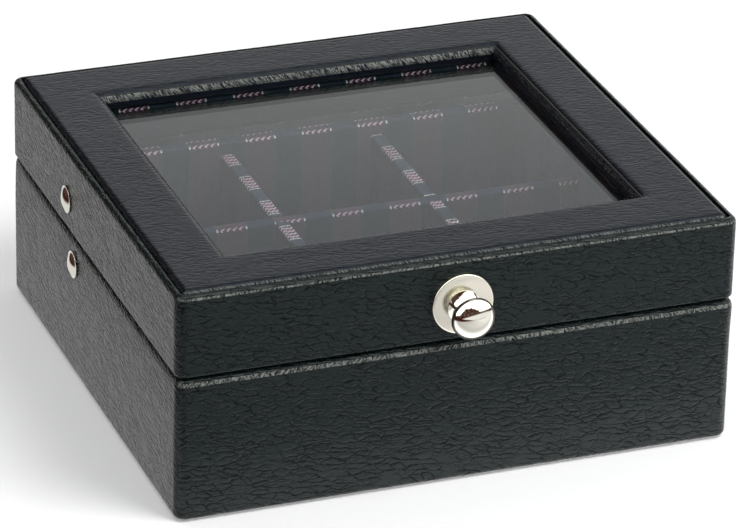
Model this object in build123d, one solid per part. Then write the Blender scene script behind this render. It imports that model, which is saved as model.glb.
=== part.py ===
from build123d import *
import math
import os

# Cufflink display box: a leather-covered box with a glazed lid on two butt hinges, a folding stay on
# each side, a pull knob in front and a fabric-covered tray of six compartments.
# Millimetres. +X right, +Y back, +Z up, origin at the centre of the underside.

# Case
case_width = 160.0
case_depth = 151.0
base_height = 42.3
lid_height = 24.5
closing_gap = 0.3
wall_thickness = 6.0
leather_thickness = 0.8
case_corner_radius = 3.2
rim_radius = 1.7
lower_edge_radius = 1.8
bottom_board_thickness = 5.0
leather_turn_under = 14.0
hinge_rail_depth = 14.1

# Tray
tray_floor_thickness = 2.4
tray_wall_thickness = 4.0
tray_wall_rise = 4.8
tray_front_clearance = 0.4
divider_thickness = 3.8
divider_drop = 3.9
back_cell_depth = 43.3
fabric_edge_radius = 0.7

# Lid
lid_lining_thickness = 0.8
rim_width = 1.9
panel_groove = 0.5
panel_rise = 0.6
panel_thickness = 4.8
panel_leather_thickness = 0.7
panel_edge_radius = 1.2
window_side_margin = 20.6
window_end_margin = 21.6
glass_thickness = 2.0
glass_edge_clearance = 0.3
lining_frame_thickness = 2.2

# Hinges
hinge_offset = 45.0
hinge_width = 25.0
hinge_leaf_height = 12.0
hinge_leaf_thickness = 0.8
knuckle_radius = 1.6
knuckle_face_gap = 0.1
knuckle_end_gap = 0.2
knuckle_length = 7.0
leaf_notch = 0.3
pin_radius = 0.8
pin_head_radius = 1.2
pin_head_height = 0.5
hinge_screw_radius = 1.0
hinge_screw_head_radius = 1.8
hinge_screw_offset = 8.0
hinge_screw_tip_cover = 1.0
screw_slot_width = 0.5
screw_slot_depth = 0.3

# Folding stays
base_pivot_from_back = 58.5
base_pivot_below_rim = 8.4
lid_pivot_from_back = 52.8
lid_pivot_above_edge = 8.8
link_thickness = 1.0
link_width = 7.0
link_wall_gap = 0.3
link_spacing = 0.2
link_tray_gap = 0.3
elbow_clearance = 0.25
stop_pin_radius = 1.2
stop_pin_distance = 8.0
lid_stop_angle = 97.0

# Rivets
rivet_radius = 1.25
rivet_cap_radius = 3.9
rivet_cap_height = 1.4
rivet_head_radius = 2.6
rivet_head_thickness = 0.35
washer_radius = 2.6

# Knob
knob_above_edge = 10.9
rose_radius = 8.9
rose_thickness = 2.0
rose_edge_thickness = 0.8
rose_seat_radius = 5.2
knob_foot_radius = 4.6
knob_neck_radius = 2.7
knob_neck_height = 5.4
knob_head_radius = 6.3
knob_head_underside = 1.4
knob_head_edge = 0.5
knob_dome_height = 3.6
knob_screw_radius = 1.5
knob_screw_bite = 6.0
knob_screw_head_radius = 2.8
knob_screw_head_height = 1.8

# Clearances
running_clearance = 0.05
hole_clearance = 0.1

# Places that follow from the sizes
half_width = case_width / 2
half_depth = case_depth / 2
inner_half_width = half_width - wall_thickness
inner_half_depth = half_depth - wall_thickness
core_half_width = half_width - leather_thickness
core_half_depth = half_depth - leather_thickness
core_corner_radius = case_corner_radius - leather_thickness
base_rim_radius = 0.9 * case_corner_radius
base_floor_z = leather_thickness + bottom_board_thickness
base_board_top_z = base_height - leather_thickness
lid_edge_z = base_height + closing_gap
lid_top_z = lid_edge_z + lid_height
rim_top_z = lid_top_z - panel_rise
shelf_z = lid_top_z - panel_thickness
glass_bottom_z = shelf_z - glass_thickness
lining_frame_z = glass_bottom_z - lining_frame_thickness
lid_board_bottom_z = lid_edge_z + leather_thickness
lid_board_half_width = inner_half_width + lid_lining_thickness
lid_board_half_depth = inner_half_depth + lid_lining_thickness

link_gap = link_wall_gap + 2 * link_thickness + link_spacing + link_tray_gap
stay_space = link_gap + rivet_head_thickness + running_clearance
tray_half_width = inner_half_width - stay_space
tray_inner_half_width = tray_half_width - tray_wall_thickness
tray_front_y = tray_front_clearance - inner_half_depth
tray_back_y = inner_half_depth - hinge_rail_depth
cells_front_y = tray_front_y + tray_wall_thickness
cells_back_y = tray_back_y - tray_wall_thickness
cross_back_y = cells_back_y - back_cell_depth
cross_front_y = cross_back_y - divider_thickness
cell_width = (2 * tray_inner_half_width - 2 * divider_thickness) / 3
divider_x = (cell_width + divider_thickness) / 2
tray_floor_top_z = base_floor_z + tray_floor_thickness
tray_wall_top_z = base_height + tray_wall_rise
divider_top_z = tray_wall_top_z - divider_drop
halving_z = (tray_floor_top_z + divider_top_z) / 2

recess_half_width = half_width - rim_width
recess_half_depth = half_depth - rim_width
panel_half_width = recess_half_width - panel_groove
panel_half_depth = recess_half_depth - panel_groove
window_half_width = half_width - window_side_margin
window_half_depth = half_depth - window_end_margin
panel_board_top_z = lid_top_z - panel_leather_thickness

hinge_axis_y = half_depth + knuckle_radius + knuckle_face_gap
hinge_axis_z = base_height + closing_gap / 2
leaf_root = knuckle_radius + leaf_notch
hinge_screw_rise = (leaf_root + hinge_leaf_height) / 2
hinge_screw_length = wall_thickness - hinge_screw_tip_cover

base_pivot = (half_depth - base_pivot_from_back, base_height - base_pivot_below_rim)
lid_pivot = (half_depth - lid_pivot_from_back, lid_edge_z + lid_pivot_above_edge)
elbow = (base_pivot[0] + lid_pivot[0] - hinge_axis_y, base_pivot[1] + lid_pivot[1] - hinge_axis_z)
lower_link_depth = link_wall_gap
upper_link_depth = lower_link_depth + link_thickness + link_spacing
knob_z = lid_edge_z + knob_above_edge


def block(x_span, y_span, z_span):
    """Box between three pairs of limits."""
    spans = (x_span, y_span, z_span)
    sizes = [high - low for low, high in spans]
    centre = [(low + high) / 2 for low, high in spans]
    return Pos(*centre) * Box(*sizes)


def prism(half_x, half_y, z_span, radius=0.0):
    """Upright block about the Z axis, with rounded upright corners."""
    if radius > 0:
        outline = RectangleRounded(2 * half_x, 2 * half_y, radius)
    else:
        outline = Rectangle(2 * half_x, 2 * half_y)
    return extrude(Pos(0, 0, z_span[0]) * outline, z_span[1] - z_span[0])


def round_ends(solid, top=0.0, bottom=0.0):
    """Round the outline of the top and of the bottom face."""
    if top > 0:
        solid = fillet(solid.faces().sort_by(Axis.Z)[-1].edges(), top)
    if bottom > 0:
        solid = fillet(solid.faces().sort_by(Axis.Z)[0].edges(), bottom)
    return solid


def rod_along_x(radius, x_span, y, z):
    return Pos((x_span[0] + x_span[1]) / 2, y, z) * Rot(0, 90, 0) * Cylinder(radius, x_span[1] - x_span[0])


def rod_along_y(radius, y_span, x, z):
    return Pos(x, (y_span[0] + y_span[1]) / 2, z) * Rot(90, 0, 0) * Cylinder(radius, y_span[1] - y_span[0])


def dome(radius, height):
    """Cap of a ball standing on the XY plane."""
    ball_radius = (radius**2 + height**2) / (2 * height)
    slab = Pos(0, 0, height / 2) * Box(4 * radius, 4 * radius, height)
    return Pos(0, 0, height - ball_radius) * Sphere(ball_radius) & slab


def disc(radius, z_span, bore=0.0):
    """Round plate about the Z axis, with a bore if one is given."""
    plate = Pos(0, 0, (z_span[0] + z_span[1]) / 2) * Cylinder(radius, z_span[1] - z_span[0])
    if bore > 0:
        plate -= Cylinder(bore, 4 * abs(z_span[0]) + 4 * abs(z_span[1]) + 1)
    return plate


def both_sides(solid):
    """The solid and its mirror image on the other side of the box."""
    return Compound(children=[solid, mirror(solid, Plane.YZ)])


def hinge_screw_places():
    """X of every screw along the back of the box."""
    return [side * hinge_offset + step for side in (-1, 1) for step in (-hinge_screw_offset, hinge_screw_offset)]


def hinge_screw_holes(z):
    depth = (half_depth - hinge_screw_length - hole_clearance, half_depth + hinge_leaf_thickness)
    holes = [rod_along_y(hinge_screw_radius + hole_clearance, depth, x, z) for x in hinge_screw_places()]
    return Compound(children=holes)


def rivet_holes(pivot):
    hole = rod_along_x(
        rivet_radius + hole_clearance, (-half_width - 1, -inner_half_width + 1), pivot[0], pivot[1]
    )
    return both_sides(hole)


def knob_hole():
    return rod_along_y(
        knob_screw_radius + hole_clearance, (-half_depth - 1, -inner_half_depth + 1), 0, knob_z
    )


base_hinge_screw_z = hinge_axis_z - hinge_screw_rise
lid_hinge_screw_z = hinge_axis_z + hinge_screw_rise


def make_base():
    """Boards, hinge rail, leather and underside sheet of the lower case."""
    shell = prism(core_half_width, core_half_depth, (leather_thickness, base_board_top_z), core_corner_radius)
    shell = round_ends(shell, top=base_rim_radius - leather_thickness)
    walls = shell - prism(inner_half_width, inner_half_depth, (0, base_height))
    walls -= rivet_holes(base_pivot)
    walls -= hinge_screw_holes(base_hinge_screw_z)
    across = (-half_width, half_width)
    tall = (0, base_height)
    middle = block(across, (-inner_half_depth, inner_half_depth), tall)
    parts = {
        "base_front_board": walls & block(across, (-half_depth, -inner_half_depth), tall),
        "base_back_board": walls & block(across, (inner_half_depth, half_depth), tall),
        "base_left_board": walls & middle & block((-half_width, 0), (-half_depth, half_depth), tall),
        "base_right_board": walls & middle & block((0, half_width), (-half_depth, half_depth), tall),
        "base_bottom_board": prism(
            inner_half_width, inner_half_depth, (leather_thickness, base_floor_z)
        ),
        "hinge_rail": block(
            (-inner_half_width, inner_half_width),
            (tray_back_y, inner_half_depth),
            (base_floor_z, base_board_top_z),
        ),
    }
    sheet_half_width = half_width - leather_turn_under
    sheet_half_depth = half_depth - leather_turn_under
    sheet = prism(sheet_half_width, sheet_half_depth, (0, leather_thickness))
    parts["underside_sheet"] = sheet
    leather = prism(half_width, half_depth, (0, base_height), case_corner_radius)
    leather = round_ends(leather, base_rim_radius, lower_edge_radius)
    leather -= shell
    leather -= sheet
    leather -= block(
        (-inner_half_width, inner_half_width),
        (-inner_half_depth, tray_back_y),
        (base_board_top_z, base_height),
    )
    leather -= rivet_holes(base_pivot)
    leather -= hinge_screw_holes(base_hinge_screw_z)
    parts["base_leather_cover"] = leather
    return parts


def padded_board(x_span, y_span, z_span):
    """Fabric-covered board with its long top edges rounded."""
    board = block(x_span, y_span, z_span)
    along = Axis.X if x_span[1] - x_span[0] > y_span[1] - y_span[0] else Axis.Y
    edges = board.faces().sort_by(Axis.Z)[-1].edges().filter_by(along)
    return fillet(edges, fabric_edge_radius)


def make_tray():
    """Floor, four walls and three halved dividers, all fabric-covered boards."""
    wall_z = (tray_floor_top_z, tray_wall_top_z)
    divider_z = (tray_floor_top_z, divider_top_z)
    full_width = (-tray_half_width, tray_half_width)
    side_y = (cells_front_y, cells_back_y)
    parts = {
        "tray_floor": block(full_width, (tray_front_y, tray_back_y), (base_floor_z, tray_floor_top_z)),
        "tray_front_wall": padded_board(full_width, (tray_front_y, cells_front_y), wall_z),
        "tray_back_wall": padded_board(full_width, (cells_back_y, tray_back_y), wall_z),
        "tray_left_wall": padded_board((-tray_half_width, -tray_inner_half_width), side_y, wall_z),
        "tray_right_wall": padded_board((tray_inner_half_width, tray_half_width), side_y, wall_z),
    }
    cross = padded_board(
        (-tray_inner_half_width, tray_inner_half_width), (cross_front_y, cross_back_y), divider_z
    )
    for name, x in (("left_divider", -divider_x), ("right_divider", divider_x)):
        thickness = (x - divider_thickness / 2, x + divider_thickness / 2)
        long_board = padded_board(thickness, side_y, divider_z)
        crossing = (cross_front_y, cross_back_y)
        parts[name] = long_board - block(thickness, crossing, (halving_z, divider_top_z + 1))
        cross -= block(thickness, crossing, (tray_floor_top_z, halving_z))
    parts["cross_divider"] = cross
    return parts


def make_lid():
    """Boards, leather and lining of the lid's four walls."""
    shell = prism(
        core_half_width, core_half_depth, (lid_board_bottom_z, rim_top_z - leather_thickness), core_corner_radius
    )
    recess_radius = case_corner_radius - rim_width
    recess = prism(recess_half_width, recess_half_depth, (shelf_z, lid_top_z), recess_radius)
    walls = shell - recess - prism(lid_board_half_width, lid_board_half_depth, (lid_edge_z, lid_top_z))
    walls -= rivet_holes(lid_pivot)
    walls -= hinge_screw_holes(lid_hinge_screw_z)
    walls -= knob_hole()
    across = (-half_width, half_width)
    tall = (lid_edge_z, lid_top_z)
    middle = block(across, (-lid_board_half_depth, lid_board_half_depth), tall)
    parts = {
        "lid_front_board": walls & block(across, (-half_depth, -lid_board_half_depth), tall),
        "lid_back_board": walls & block(across, (lid_board_half_depth, half_depth), tall),
        "lid_left_board": walls & middle & block((-half_width, 0), (-half_depth, half_depth), tall),
        "lid_right_board": walls & middle & block((0, half_width), (-half_depth, half_depth), tall),
    }
    leather = prism(half_width, half_depth, (lid_edge_z, rim_top_z), case_corner_radius)
    leather = round_ends(leather, rim_radius, lower_edge_radius)
    leather -= shell
    leather -= recess
    leather -= prism(inner_half_width, inner_half_depth, (lid_edge_z, lid_board_bottom_z))
    leather -= rivet_holes(lid_pivot)
    leather -= hinge_screw_holes(lid_hinge_screw_z)
    leather -= knob_hole()
    parts["lid_leather_cover"] = leather

    lining_z = (lid_board_bottom_z, lining_frame_z)
    lining = prism(lid_board_half_width, lid_board_half_depth, lining_z)
    lining -= prism(inner_half_width, inner_half_depth, lining_z)
    lining -= rivet_holes(lid_pivot)
    lining -= rod_along_y(
        knob_screw_head_radius + hole_clearance, (-half_depth, -inner_half_depth + 1), 0, knob_z
    )
    cards = lining & block(across, (-inner_half_depth, inner_half_depth), tall)
    parts["lid_front_lining"] = lining & block(across, (-half_depth, -inner_half_depth), tall)
    parts["lid_back_lining"] = lining & block(across, (inner_half_depth, half_depth), tall)
    parts["lid_left_lining"] = cards & block((-half_width, 0), (-half_depth, half_depth), tall)
    parts["lid_right_lining"] = cards & block((0, half_width), (-half_depth, half_depth), tall)
    return parts


def frame_rails(prefix, outer, opening, z_span, edge_radius=0.0):
    """Four butt-jointed rails of a flat frame, the front and back ones running the full width."""
    spans = {
        "front": ((-outer[0], outer[0]), (-outer[1], -opening[1])),
        "back": ((-outer[0], outer[0]), (opening[1], outer[1])),
        "left": ((-outer[0], -opening[0]), (-opening[1], opening[1])),
        "right": ((opening[0], outer[0]), (-opening[1], opening[1])),
    }
    inner_edges = {
        "front": (Axis.X, Axis.Y, -1),
        "back": (Axis.X, Axis.Y, 0),
        "left": (Axis.Y, Axis.X, -1),
        "right": (Axis.Y, Axis.X, 0),
    }
    rails = {}
    for side, (x_span, y_span) in spans.items():
        rail = block(x_span, y_span, z_span)
        if edge_radius > 0:
            along, across, end = inner_edges[side]
            top_edges = rail.faces().sort_by(Axis.Z)[-1].edges().filter_by(along)
            rail = fillet(top_edges.sort_by(across)[end], edge_radius)
        rails[f"{prefix}_{side}_rail"] = rail
    return rails


def make_top():
    """Top panel with its leather, the glass and the lining frame that holds the glass up."""
    window = (window_half_width, window_half_depth)
    board_outer = (panel_half_width - panel_leather_thickness, panel_half_depth - panel_leather_thickness)
    board_opening = (window[0] + panel_leather_thickness, window[1] + panel_leather_thickness)
    board_z = (shelf_z, panel_board_top_z)
    parts = frame_rails("top_panel", board_outer, board_opening, board_z)
    leather = prism(panel_half_width, panel_half_depth, (shelf_z, lid_top_z))
    leather -= prism(*window, (shelf_z, lid_top_z))
    leather = fillet(leather.faces().sort_by(Axis.Z)[-1].edges(), panel_edge_radius)
    leather -= prism(*board_outer, board_z) - prism(*board_opening, board_z)
    parts["top_panel_leather"] = leather
    parts["glass_pane"] = prism(
        lid_board_half_width - glass_edge_clearance,
        lid_board_half_depth - glass_edge_clearance,
        (glass_bottom_z, shelf_z),
    )
    parts |= frame_rails(
        "lining_frame",
        (lid_board_half_width, lid_board_half_depth),
        window,
        (lining_frame_z, glass_bottom_z),
        fabric_edge_radius,
    )
    return parts


def hinge_leaf(side, knuckles, direction):
    """Leaf on the back face: direction is -1 below the hinge axis and 1 above it."""
    x_centre = side * hinge_offset
    plate_y = (half_depth, half_depth + hinge_leaf_thickness)
    rise = sorted((direction * leaf_root, direction * hinge_leaf_height))
    plate_z = (hinge_axis_z + rise[0], hinge_axis_z + rise[1])
    half_leaf = hinge_width / 2
    leaf = block((x_centre - half_leaf, x_centre + half_leaf), plate_y, plate_z)
    root = sorted((0, direction * leaf_root))
    root_z = (hinge_axis_z + root[0], hinge_axis_z + root[1])
    for start, end in knuckles:
        span = (x_centre + start, x_centre + end)
        leaf += block(span, plate_y, root_z)
        leaf += rod_along_x(knuckle_radius, span, hinge_axis_y, hinge_axis_z)
    leaf -= rod_along_x(
        pin_radius + running_clearance,
        (x_centre - hinge_width, x_centre + hinge_width),
        hinge_axis_y,
        hinge_axis_z,
    )
    screw_z = hinge_axis_z + direction * hinge_screw_rise
    for step in (-hinge_screw_offset, hinge_screw_offset):
        leaf -= Pos(0, hole_clearance, 0) * hinge_screw(x_centre + step, screw_z, hole_clearance)
    return leaf


def hinge_screw(x, z, clearance=0.0):
    """Countersunk wood screw driven in from the back; a clearance makes the cutter for its hole."""
    shank_radius = hinge_screw_radius + clearance
    head_radius = hinge_screw_head_radius + clearance
    shank = disc(shank_radius, (-hinge_screw_length, 0))
    head = Pos(0, 0, hinge_leaf_thickness / 2) * Cone(shank_radius, head_radius, hinge_leaf_thickness)
    screw = shank + head
    if clearance == 0:
        slot = Box(4 * head_radius, screw_slot_width, 2 * screw_slot_depth)
        screw -= Pos(0, 0, hinge_leaf_thickness) * slot
    return Pos(x, half_depth, z) * Rot(-90, 0, 0) * screw


def hinge_screws(z):
    return Compound(children=[hinge_screw(x, z) for x in hinge_screw_places()])


def hinge_pin(side):
    """Pin through all three knuckles, with a head formed on each end."""
    x_centre = side * hinge_offset
    half_length = hinge_width / 2 + running_clearance
    ends = (x_centre - half_length, x_centre + half_length)
    pin = rod_along_x(pin_radius, ends, hinge_axis_y, hinge_axis_z)
    for low in (ends[0] - pin_head_height, ends[1]):
        pin += rod_along_x(pin_head_radius, (low, low + pin_head_height), hinge_axis_y, hinge_axis_z)
    return pin


def make_hinges():
    half_leaf = hinge_width / 2
    outer_knuckles = [(-half_leaf, -half_leaf + knuckle_length), (half_leaf - knuckle_length, half_leaf)]
    centre_half = half_leaf - knuckle_length - knuckle_end_gap
    parts = {}
    for name, side in (("left", -1), ("right", 1)):
        parts[f"{name}_hinge_base_leaf"] = hinge_leaf(side, outer_knuckles, -1)
        parts[f"{name}_hinge_lid_leaf"] = hinge_leaf(side, [(-centre_half, centre_half)], 1)
        parts[f"{name}_hinge_pin"] = hinge_pin(side)
    parts["base_hinge_screws"] = hinge_screws(base_hinge_screw_z)
    parts["lid_hinge_screws"] = hinge_screws(lid_hinge_screw_z)
    return parts


def inward(pivot):
    """Place on the left wall's inner face whose local Z points into the box."""
    return Plane(origin=(-inner_half_width, pivot[0], pivot[1]), x_dir=(0, 1, 0), z_dir=(1, 0, 0)).location


def case_rivet(pivot, link_depth):
    """Rivet with a domed cap outside the wall and a flat head on the link inside."""
    link_end = link_depth + link_thickness + running_clearance
    rivet = disc(rivet_radius, (-wall_thickness, link_end))
    rivet += Pos(0, 0, -wall_thickness) * Rot(180, 0, 0) * dome(rivet_cap_radius, rivet_cap_height)
    rivet += disc(rivet_head_radius, (link_end, link_end + rivet_head_thickness))
    return inward(pivot) * rivet


def spacer(pivot, link_depth):
    """Washer between the wall and the link."""
    washer = disc(washer_radius, (0, link_depth - running_clearance), rivet_radius + running_clearance)
    return inward(pivot) * washer


def link_bar(start, end, depth, start_bore, end_bore):
    """Flat bar from start to end, lying depth in from the wall's inner face."""
    run = (end[0] - start[0], end[1] - start[1])
    length = math.hypot(*run)
    frame = Plane(
        origin=(-inner_half_width + depth, start[0], start[1]), x_dir=(0, run[0], run[1]), z_dir=(1, 0, 0)
    )
    bar = extrude(Pos(length / 2, 0, 0) * SlotCenterToCenter(length, link_width), link_thickness)
    for along, bore in ((0, start_bore), (length, end_bore)):
        bar -= Pos(along, 0, 0) * Cylinder(bore, 4 * link_thickness)
    return frame, bar


def make_stay():
    """Lower link with its stop pin, upper link and elbow rivet of the left stay."""
    pivot_bore = rivet_radius + running_clearance
    lower_frame, lower = link_bar(elbow, base_pivot, lower_link_depth, pivot_bore, pivot_bore)
    closed_spread = link_angle(elbow, lid_pivot) - link_angle(elbow, base_pivot)
    reach = math.asin((link_width / 2 + stop_pin_radius) / stop_pin_distance)
    stop_angle = math.degrees(closed_spread + reach) + lid_stop_angle
    ear = extrude(
        Rot(0, 0, stop_angle) * Pos(stop_pin_distance / 2, 0) * SlotCenterToCenter(stop_pin_distance, link_width),
        link_thickness,
    )
    ear -= Cylinder(pivot_bore, 4 * link_thickness)
    stop_pin = disc(stop_pin_radius, (0, 2 * link_thickness + link_spacing))
    lower = lower + ear + Rot(0, 0, stop_angle) * Pos(stop_pin_distance, 0, 0) * stop_pin
    upper_frame, upper = link_bar(
        elbow, lid_pivot, upper_link_depth, rivet_radius + elbow_clearance, pivot_bore
    )
    rivet_end = upper_link_depth + link_thickness + running_clearance
    rivet = disc(rivet_radius, (lower_link_depth, rivet_end))
    rivet += disc(rivet_head_radius, (rivet_end, rivet_end + rivet_head_thickness))
    return {
        "lower_link": lower_frame.location * lower,
        "upper_link": upper_frame.location * upper,
        "elbow_rivet": inward(elbow) * rivet,
    }


def link_angle(start, end):
    return math.atan2(end[1] - start[1], end[0] - start[0])


def make_stays():
    """The left stay, its mirror image, and the rivets and spacers that carry both."""
    parts = {}
    for name, piece in make_stay().items():
        parts[f"left_{name}"] = piece
        parts[f"right_{name}"] = mirror(piece, Plane.YZ)
    for body, pivot, depth in (("base", base_pivot, lower_link_depth), ("lid", lid_pivot, upper_link_depth)):
        parts[f"{body}_stay_rivets"] = both_sides(case_rivet(pivot, depth))
        parts[f"{body}_stay_spacers"] = both_sides(spacer(pivot, depth))
    return parts


def out_of_front(solid):
    """Point the solid's Z out of the front of the lid, on the knob's centre."""
    return Pos(0, -half_depth, knob_z) * Rot(90, 0, 0) * solid


def make_knob():
    """Rose, turned knob and the screw that pulls both against the lid's front wall."""
    bore = knob_screw_radius + hole_clearance
    foot = rose_thickness
    rose_edge = [
        Line((bore, 0, 0), (rose_radius, 0, 0)),
        Line((rose_radius, 0, 0), (rose_radius, 0, rose_edge_thickness)),
        Line((rose_radius, 0, rose_edge_thickness), (rose_seat_radius, 0, rose_thickness)),
        Line((rose_seat_radius, 0, rose_thickness), (bore, 0, rose_thickness)),
        Line((bore, 0, rose_thickness), (bore, 0, 0)),
    ]
    bore_end = foot + knob_screw_bite + hole_clearance
    neck_z = foot + knob_neck_height
    head_z = neck_z + knob_head_underside
    edge_z = head_z + knob_head_edge
    flare = knob_foot_radius - knob_neck_radius
    brim = knob_head_radius - knob_neck_radius
    knob_edge = [
        Line((bore, 0, foot), (knob_foot_radius, 0, foot)),
        ThreePointArc(
            (knob_foot_radius, 0, foot),
            (knob_neck_radius + 0.3 * flare, 0, foot + 0.4 * knob_neck_height),
            (knob_neck_radius, 0, neck_z),
        ),
        ThreePointArc(
            (knob_neck_radius, 0, neck_z),
            (knob_neck_radius + 0.4 * brim, 0, neck_z + 0.7 * knob_head_underside),
            (knob_head_radius, 0, head_z),
        ),
        Line((knob_head_radius, 0, head_z), (knob_head_radius, 0, edge_z)),
        Line((knob_head_radius, 0, edge_z), (0, 0, edge_z)),
        Line((0, 0, edge_z), (0, 0, bore_end)),
        Line((0, 0, bore_end), (bore, 0, bore_end)),
        Line((bore, 0, bore_end), (bore, 0, foot)),
    ]
    head = Pos(0, 0, edge_z) * dome(knob_head_radius, knob_dome_height)
    seat_y = -lid_board_half_depth
    screw = rod_along_y(knob_screw_radius, (-half_depth - foot - knob_screw_bite, seat_y), 0, knob_z)
    screw += rod_along_y(knob_screw_head_radius, (seat_y, seat_y + knob_screw_head_height), 0, knob_z)
    slot = Box(4 * knob_screw_head_radius, 2 * screw_slot_depth, screw_slot_width)
    screw -= Pos(0, seat_y + knob_screw_head_height, knob_z) * slot
    return {
        "knob_rose": out_of_front(revolve(make_face(rose_edge), Axis.Z)),
        "knob_handle": out_of_front(revolve(make_face(knob_edge), Axis.Z) + head),
        "knob_screw": screw,
    }


def main():
    os.makedirs("parts", exist_ok=True)
    parts = {}
    for make in (make_base, make_tray, make_lid, make_top, make_hinges, make_stays, make_knob):
        parts |= make()
    for name, solid in parts.items():
        export_step(solid, f"parts/{name}.step")
        print(name)


main()
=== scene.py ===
import math

import bmesh
import bpy
from mathutils import Matrix, Vector, noise


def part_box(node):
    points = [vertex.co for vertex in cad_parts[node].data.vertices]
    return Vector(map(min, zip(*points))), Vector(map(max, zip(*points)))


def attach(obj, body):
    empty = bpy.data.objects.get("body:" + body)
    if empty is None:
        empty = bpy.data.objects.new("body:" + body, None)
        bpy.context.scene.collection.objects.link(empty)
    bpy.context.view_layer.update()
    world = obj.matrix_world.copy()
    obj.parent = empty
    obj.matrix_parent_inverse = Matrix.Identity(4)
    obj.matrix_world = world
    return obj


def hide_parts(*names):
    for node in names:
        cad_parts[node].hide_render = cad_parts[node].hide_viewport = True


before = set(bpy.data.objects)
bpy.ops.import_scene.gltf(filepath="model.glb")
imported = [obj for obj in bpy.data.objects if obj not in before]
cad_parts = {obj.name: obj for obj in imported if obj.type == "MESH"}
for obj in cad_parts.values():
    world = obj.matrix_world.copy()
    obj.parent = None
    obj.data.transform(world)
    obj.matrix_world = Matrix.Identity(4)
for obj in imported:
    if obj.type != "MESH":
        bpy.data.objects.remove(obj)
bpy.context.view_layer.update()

mm = 0.001


# Camera: about 1.4 m away with a long lens, in front of the box, a little to its left and above it. It
# is turned a degree or so about its own line of sight.

camera = bpy.data.objects.new("camera", bpy.data.cameras.new("camera"))
bpy.context.scene.collection.objects.link(camera)
bpy.context.scene.camera = camera
camera.data.sensor_width = 36
camera.data.lens = 239.4
camera.location = (-0.44473, -1.17309, 0.63766)
camera_aim = Vector((0.00211, -0.00220, 0.03070))
camera_tilt = math.radians(1.345)
looking = (camera_aim - camera.location).to_track_quat("-Z", "Y").to_matrix()
camera.rotation_euler = (looking @ Matrix.Rotation(camera_tilt, 3, "Z")).to_euler()
bpy.context.scene.view_settings.view_transform = "Standard"


# Studio: a white sheet on a table in a pale room. A large soft lamp hangs above the front of the box, a
# weaker one behind it, and a low one at the front right lights the rims. Only in reflections, the room is
# painted dark brown behind the camera and at the far left, which gives the metal and the rolled edges their
# dark bands, and a bright patch high on the camera's side is a painted reflection of the lamp.

def new_material(name):
    material = bpy.data.materials.new(name)
    material.use_nodes = True
    material.node_tree.nodes.clear()
    return material, material.node_tree


def add(tree, kind, inputs=None, **settings):
    made = tree.nodes.new("ShaderNode" + kind)
    for key, value in settings.items():
        setattr(made, key, value)
    for key, value in (inputs or {}).items():
        if isinstance(value, bpy.types.NodeSocket):
            tree.links.new(value, made.inputs[key])
        else:
            made.inputs[key].default_value = value
    return made


def calc(tree, operation, *values):
    return add(tree, "Math", dict(enumerate(values)), operation=operation).outputs[0]


def vector(tree, operation, *values):
    made = add(tree, "VectorMath", dict(enumerate(values)), operation=operation)
    return made.outputs["Value" if operation in ("LENGTH", "DOT_PRODUCT") else "Vector"]


def combine(tree, *values):
    return add(tree, "CombineXYZ", dict(enumerate(values))).outputs[0]


def split(tree, value):
    return add(tree, "SeparateXYZ", {0: value}).outputs


def place_in(tree, space="Object"):
    return add(tree, "TexCoord").outputs[space]


def ramp(tree, value, low, high):
    """0 where the value is at low, 1 where it is at high, and a soft step between."""
    inputs = {"Value": value, "From Min": low, "From Max": high}
    return add(tree, "MapRange", inputs, interpolation_type="SMOOTHSTEP").outputs[0]


def span(tree, value, low, high, first, last):
    """first where the value is at low, last where it is at high, and evenly between."""
    inputs = {"Value": value, "From Min": low, "From Max": high, "To Min": first, "To Max": last}
    return add(tree, "MapRange", inputs).outputs[0]


def all_of(tree, *masks):
    result = masks[0]
    for mask in masks[1:]:
        result = calc(tree, "MULTIPLY", result, mask)
    return result


def blend(tree, share, first, second):
    return add(tree, "MixRGB", {0: share, 1: first, 2: second}).outputs[0]


def noise_over(tree, where, scale, detail):
    return add(tree, "TexNoise", {"Vector": where, "Scale": scale, "Detail": detail}).outputs[0]


def relief(tree, height, strength, depth):
    return add(tree, "Bump", {"Height": height, "Strength": strength, "Distance": depth}).outputs[0]


def surface(tree, colour, roughness, more=None):
    inputs = {"Base Color": colour, "Roughness": roughness, **(more or {})}
    return add(tree, "BsdfPrincipled", inputs).outputs[0]


def emission(tree, colour, strength):
    return add(tree, "Emission", {"Color": colour, "Strength": strength}).outputs[0]


def mix(tree, share, first, second):
    return add(tree, "MixShader", {0: share, 1: first, 2: second}).outputs[0]


def finish_surface(tree, shader):
    add(tree, "OutputMaterial", {"Surface": shader})


def link(name, mesh):
    piece = bpy.data.objects.new(name, mesh)
    bpy.context.scene.collection.objects.link(piece)
    return piece


white = (1, 1, 1, 1)
table_reach = 4.0
table_drop = 0.3 * mm
table_grey = (0.80, 0.80, 0.80, 1)
table_glow = 0.22
warm_sheet = (1, 0.99, 0.985, 1)
reflected_dark_red = (0.055, 0.015, 0.013, 1)
pale_wall = (0.50, 0.50, 0.51, 1)
grey_ceiling = (0.425, 0.43, 0.45, 1)
brown_shadow = (0.050, 0.018, 0.016, 1)
brown_wall = (0.18, 0.12, 0.10, 1)
painted_lamp_reflection = (3.0, 3.1, 2.9, 1)

table_mesh = bpy.data.meshes.new("table_top")
shape = bmesh.new()
bmesh.ops.create_grid(shape, x_segments=1, y_segments=1, size=table_reach)
bmesh.ops.translate(shape, verts=shape.verts, vec=(0, 0, -table_drop))
shape.to_mesh(table_mesh)
shape.free()
table = link("table_top", table_mesh)

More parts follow.
